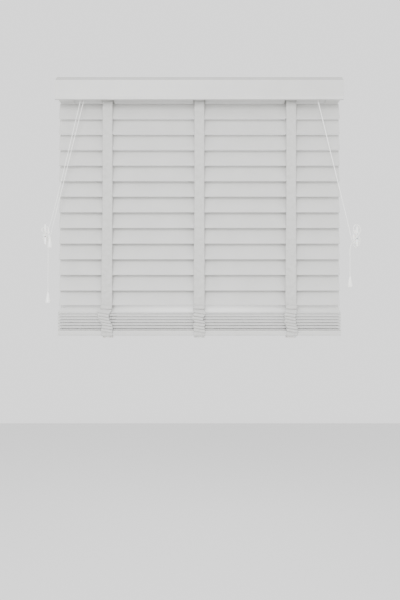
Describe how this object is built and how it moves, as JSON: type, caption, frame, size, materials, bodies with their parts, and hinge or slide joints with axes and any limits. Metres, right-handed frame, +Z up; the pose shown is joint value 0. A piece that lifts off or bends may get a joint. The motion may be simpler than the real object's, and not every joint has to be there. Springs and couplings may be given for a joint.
{
  "type": "venetian blinds",
  "caption": "Horizontal-slat window blind of white painted wood on fabric ladder tapes, half raised, with valance, head rail gear, cords, cleats and tassels.",
  "frame": {"origin": "in the mounting plane on top of the two brackets, at the middle of their four screw holes", "axes": "+X along the slats to the right as seen from the room, -Y towards the room, +Z up"},
  "size_m": [0.8827, 0.0901, 0.7238],
  "materials": {
    "slats": "white satin paint on basswood, fine grain just showing",
    "valance": "white satin paint on basswood",
    "tape": "woven cotton ladder tape, off-white",
    "buttons": "moulded nylon, white",
    "head_rail": "white baked enamel on roll-formed steel",
    "brackets": "white powder coat on pressed steel",
    "nylon": "moulded nylon, natural white",
    "steel": "zinc-plated drawn steel",
    "gear_nylon": "moulded acetal, ivory",
    "cord": "braided polyester cord, white",
    "tassels": "turned wood, white gloss enamel",
    "cleats": "moulded ABS, glossy white"
  },
  "bodies": {
    "root": {"head_rail": "head_rail", "bracket_left": "brackets", "bracket_right": "brackets", "bracket_gate_left": "brackets", "bracket_gate_right": "brackets", "valance": "valance", "valance_clips": "nylon", "cradle_left": "nylon", "cradle_middle": "nylon", "cradle_right": "nylon", "tilter_housing": "nylon", "lock_housing": "nylon", "lift_cords": "cord", "tape_folds_left": "tape", "tape_folds_middle": "tape", "tape_folds_right": "tape", "cleat_left": "cleats", "cleat_right": "cleats", "tilt_cord_a": "cord", "tilt_cord_b": "cord", "pull_cord": "cord", "tassel_tilt_a": "tassels", "tassel_tilt_b": "tassels", "tassel_lift": "tassels"},
    "tilt_rod_set": {"tilt_rod": "steel", "tape_drums": "nylon", "tilter_wheel": "gear_nylon"},
    "tilter_worm": {"tilter_worm": "gear_nylon"},
    "slat_01": {"slat_01": "slats"},
    "slat_02": {"slat_02": "slats"},
    "slat_03": {"slat_03": "slats"},
    "slat_04": {"slat_04": "slats"},
    "slat_05": {"slat_05": "slats"},
    "slat_06": {"slat_06": "slats"},
    "slat_07": {"slat_07": "slats"},
    "slat_08": {"slat_08": "slats"},
    "slat_09": {"slat_09": "slats"},
    "slat_10": {"slat_10": "slats"},
    "slat_11": {"slat_11": "slats"},
    "slat_12": {"slat_12": "slats"},
    "slat_13": {"slat_13": "slats"},
    "slat_14": {"slat_14": "slats"},
    "slat_15": {"slat_15": "slats"},
    "slat_16": {"slat_16": "slats"},
    "slat_17": {"slat_17": "slats"},
    "slat_18": {"slat_18": "slats"},
    "slat_19": {"slat_19": "slats"},
    "slat_20": {"slat_20": "slats"},
    "slat_21": {"slat_21": "slats"},
    "slat_22": {"slat_22": "slats"},
    "slat_23": {"slat_23": "slats"},
    "slat_24": {"slat_24": "slats"},
    "slat_25": {"slat_25": "slats"},
    "front_tapes": {"front_tapes": "tape"},
    "rear_tapes": {"rear_tapes": "tape"},
    "bottom_rail_set": {"bottom_rail": "slats", "tape_buttons": "buttons"},
    "lock_pulley": {"lock_pulley": "steel"},
    "lock_roller": {"lock_roller": "steel"}
  },
  "joints": [
    {"name": "tilt", "type": "hinge", "parent": "root", "child": "tilt_rod_set", "pos_m": [0, 0, -0.026], "axis": [-1, 0, 0], "range_deg": [0, 240], "deforming": ["front_tapes", "rear_tapes"]},
    {"name": "tilter_worm_turn", "type": "hinge", "parent": "root", "child": "tilter_worm", "pos_m": [-0.3265, 0, -0.0393], "axis": [0, 1, 0], "range_deg": [0, 3360]},
    {"name": "slat_01_tilt", "type": "hinge", "parent": "root", "child": "slat_01", "pos_m": [0, 0, -0.0805], "axis": [-1, 0, 0], "range_deg": [0, 136]},
    {"name": "slat_02_tilt", "type": "hinge", "parent": "root", "child": "slat_02", "pos_m": [0, 0, -0.1245], "axis": [-1, 0, 0], "range_deg": [0, 136]},
    {"name": "slat_03_tilt", "type": "hinge", "parent": "root", "child": "slat_03", "pos_m": [0, 0, -0.1685], "axis": [-1, 0, 0], "range_deg": [0, 136]},
    {"name": "slat_04_tilt", "type": "hinge", "parent": "root", "child": "slat_04", "pos_m": [0, 0, -0.2125], "axis": [-1, 0, 0], "range_deg": [0, 136]},
    {"name": "slat_05_tilt", "type": "hinge", "parent": "root", "child": "slat_05", "pos_m": [0, 0, -0.2565], "axis": [-1, 0, 0], "range_deg": [0, 136]},
    {"name": "slat_06_tilt", "type": "hinge", "parent": "root", "child": "slat_06", "pos_m": [0, 0, -0.3005], "axis": [-1, 0, 0], "range_deg": [0, 136]},
    {"name": "slat_07_tilt", "type": "hinge", "parent": "root", "child": "slat_07", "pos_m": [0, 0, -0.3445], "axis": [-1, 0, 0], "range_deg": [0, 136]},
    {"name": "slat_08_tilt", "type": "hinge", "parent": "root", "child": "slat_08", "pos_m": [0, 0, -0.3885], "axis": [-1, 0, 0], "range_deg": [0, 136]},
    {"name": "slat_09_tilt", "type": "hinge", "parent": "root", "child": "slat_09", "pos_m": [0, 0, -0.4325], "axis": [-1, 0, 0], "range_deg": [0, 136]},
    {"name": "slat_10_tilt", "type": "hinge", "parent": "root", "child": "slat_10", "pos_m": [0, 0, -0.4765], "axis": [-1, 0, 0], "range_deg": [0, 136]},
    {"name": "slat_11_tilt", "type": "hinge", "parent": "root", "child": "slat_11", "pos_m": [0, 0, -0.5205], "axis": [-1, 0, 0], "range_deg": [0, 136]},
    {"name": "slat_12_tilt", "type": "hinge", "parent": "root", "child": "slat_12", "pos_m": [0, 0, -0.5645], "axis": [-1, 0, 0], "range_deg": [0, 136]},
    {"name": "slat_13_tilt", "type": "hinge", "parent": "root", "child": "slat_13", "pos_m": [0, 0, -0.6055], "axis": [-1, 0, 0], "range_deg": [0, 136]},
    {"name": "front_tapes_swing", "type": "hinge", "parent": "slat_07", "child": "front_tapes", "pos_m": [0, -0.00875, -0.36615], "axis": [-1, 0, 0], "range_deg": [-136, 0]},
    {"name": "rear_tapes_swing", "type": "hinge", "parent": "slat_07", "child": "rear_tapes", "pos_m": [0, 0.00875, -0.32285], "axis": [-1, 0, 0], "range_deg": [-136, 0]},
    {"name": "lift", "type": "slide", "parent": "root", "child": "bottom_rail_set", "axis": [0, 0, -1], "range_m": [0, 0.4668], "deforming": ["lift_cords", "tape_folds_left", "tape_folds_middle", "tape_folds_right"]},
    {"name": "slat_14_drop", "type": "slide", "parent": "root", "child": "slat_14", "axis": [0, 0, -1], "range_m": [0, 0.01302]},
    {"name": "slat_15_drop", "type": "slide", "parent": "root", "child": "slat_15", "axis": [0, 0, -1], "range_m": [0, 0.043]},
    {"name": "slat_16_drop", "type": "slide", "parent": "root", "child": "slat_16", "axis": [0, 0, -1], "range_m": [0, 0.0836]},
    {"name": "slat_17_drop", "type": "slide", "parent": "root", "child": "slat_17", "axis": [0, 0, -1], "range_m": [0, 0.1226]},
    {"name": "slat_18_drop", "type": "slide", "parent": "root", "child": "slat_18", "axis": [0, 0, -1], "range_m": [0, 0.1632]},
    {"name": "slat_19_drop", "type": "slide", "parent": "root", "child": "slat_19", "axis": [0, 0, -1], "range_m": [0, 0.2022]},
    {"name": "slat_20_drop", "type": "slide", "parent": "root", "child": "slat_20", "axis": [0, 0, -1], "range_m": [0, 0.2428]},
    {"name": "slat_21_drop", "type": "slide", "parent": "root", "child": "slat_21", "axis": [0, 0, -1], "range_m": [0, 0.2818]},
    {"name": "slat_22_drop", "type": "slide", "parent": "root", "child": "slat_22", "axis": [0, 0, -1], "range_m": [0, 0.3224]},
    {"name": "slat_23_drop", "type": "slide", "parent": "root", "child": "slat_23", "axis": [0, 0, -1], "range_m": [0, 0.3614]},
    {"name": "slat_24_drop", "type": "slide", "parent": "root", "child": "slat_24", "axis": [0, 0, -1], "range_m": [0, 0.402]},
    {"name": "slat_25_drop", "type": "slide", "parent": "root", "child": "slat_25", "axis": [0, 0, -1], "range_m": [0, 0.441]},
    {"name": "lock_pulley_turn", "type": "hinge", "parent": "root", "child": "lock_pulley", "pos_m": [0.3255, 0, -0.042], "axis": [0, 1, 0], "range_deg": [-5350.13, 0]},
    {"name": "lock_roller_turn", "type": "hinge", "parent": "root", "child": "lock_roller", "pos_m": [0.3343, 0, -0.04], "axis": [0, 1, 0], "range_deg": [0, 8628.64]}
  ],
  "couplings": [
    {"joint": "tilter_worm_turn", "follows": "tilt", "ratio": 14},
    {"joint": "slat_01_tilt", "follows": "tilt", "ratio": 0.56667},
    {"joint": "slat_02_tilt", "follows": "tilt", "ratio": 0.56667},
    {"joint": "slat_03_tilt", "follows": "tilt", "ratio": 0.56667},
    {"joint": "slat_04_tilt", "follows": "tilt", "ratio": 0.56667},
    {"joint": "slat_05_tilt", "follows": "tilt", "ratio": 0.56667},
    {"joint": "slat_06_tilt", "follows": "tilt", "ratio": 0.56667},
    {"joint": "slat_07_tilt", "follows": "tilt", "ratio": 0.56667},
    {"joint": "slat_08_tilt", "follows": "tilt", "ratio": 0.56667},
    {"joint": "slat_09_tilt", "follows": "tilt", "ratio": 0.56667},
    {"joint": "slat_10_tilt", "follows": "tilt", "ratio": 0.56667},
    {"joint": "slat_11_tilt", "follows": "tilt", "ratio": 0.56667},
    {"joint": "slat_12_tilt", "follows": "tilt", "ratio": 0.56667},
    {"joint": "slat_13_tilt", "follows": "tilt", "ratio": 0.56667},
    {"joint": "front_tapes_swing", "follows": "tilt", "ratio": -0.56667},
    {"joint": "rear_tapes_swing", "follows": "tilt", "ratio": -0.56667},
    {"joint": "slat_14_drop", "follows": "lift", "ratio": 0.027903},
    {"joint": "slat_15_drop", "follows": "lift", "ratio": 0.092117},
    {"joint": "slat_16_drop", "follows": "lift", "ratio": 0.17909},
    {"joint": "slat_17_drop", "follows": "lift", "ratio": 0.26264},
    {"joint": "slat_18_drop", "follows": "lift", "ratio": 0.34961},
    {"joint": "slat_19_drop", "follows": "lift", "ratio": 0.43316},
    {"joint": "slat_20_drop", "follows": "lift", "ratio": 0.52014},
    {"joint": "slat_21_drop", "follows": "lift", "ratio": 0.60368},
    {"joint": "slat_22_drop", "follows": "lift", "ratio": 0.69066},
    {"joint": "slat_23_drop", "follows": "lift", "ratio": 0.77421},
    {"joint": "slat_24_drop", "follows": "lift", "ratio": 0.86118},
    {"joint": "slat_25_drop", "follows": "lift", "ratio": 0.94473},
    {"joint": "lock_pulley_turn", "follows": "lift", "rad_per_m": -200},
    {"joint": "lock_roller_turn", "follows": "lift", "rad_per_m": 322.58}
  ]
}
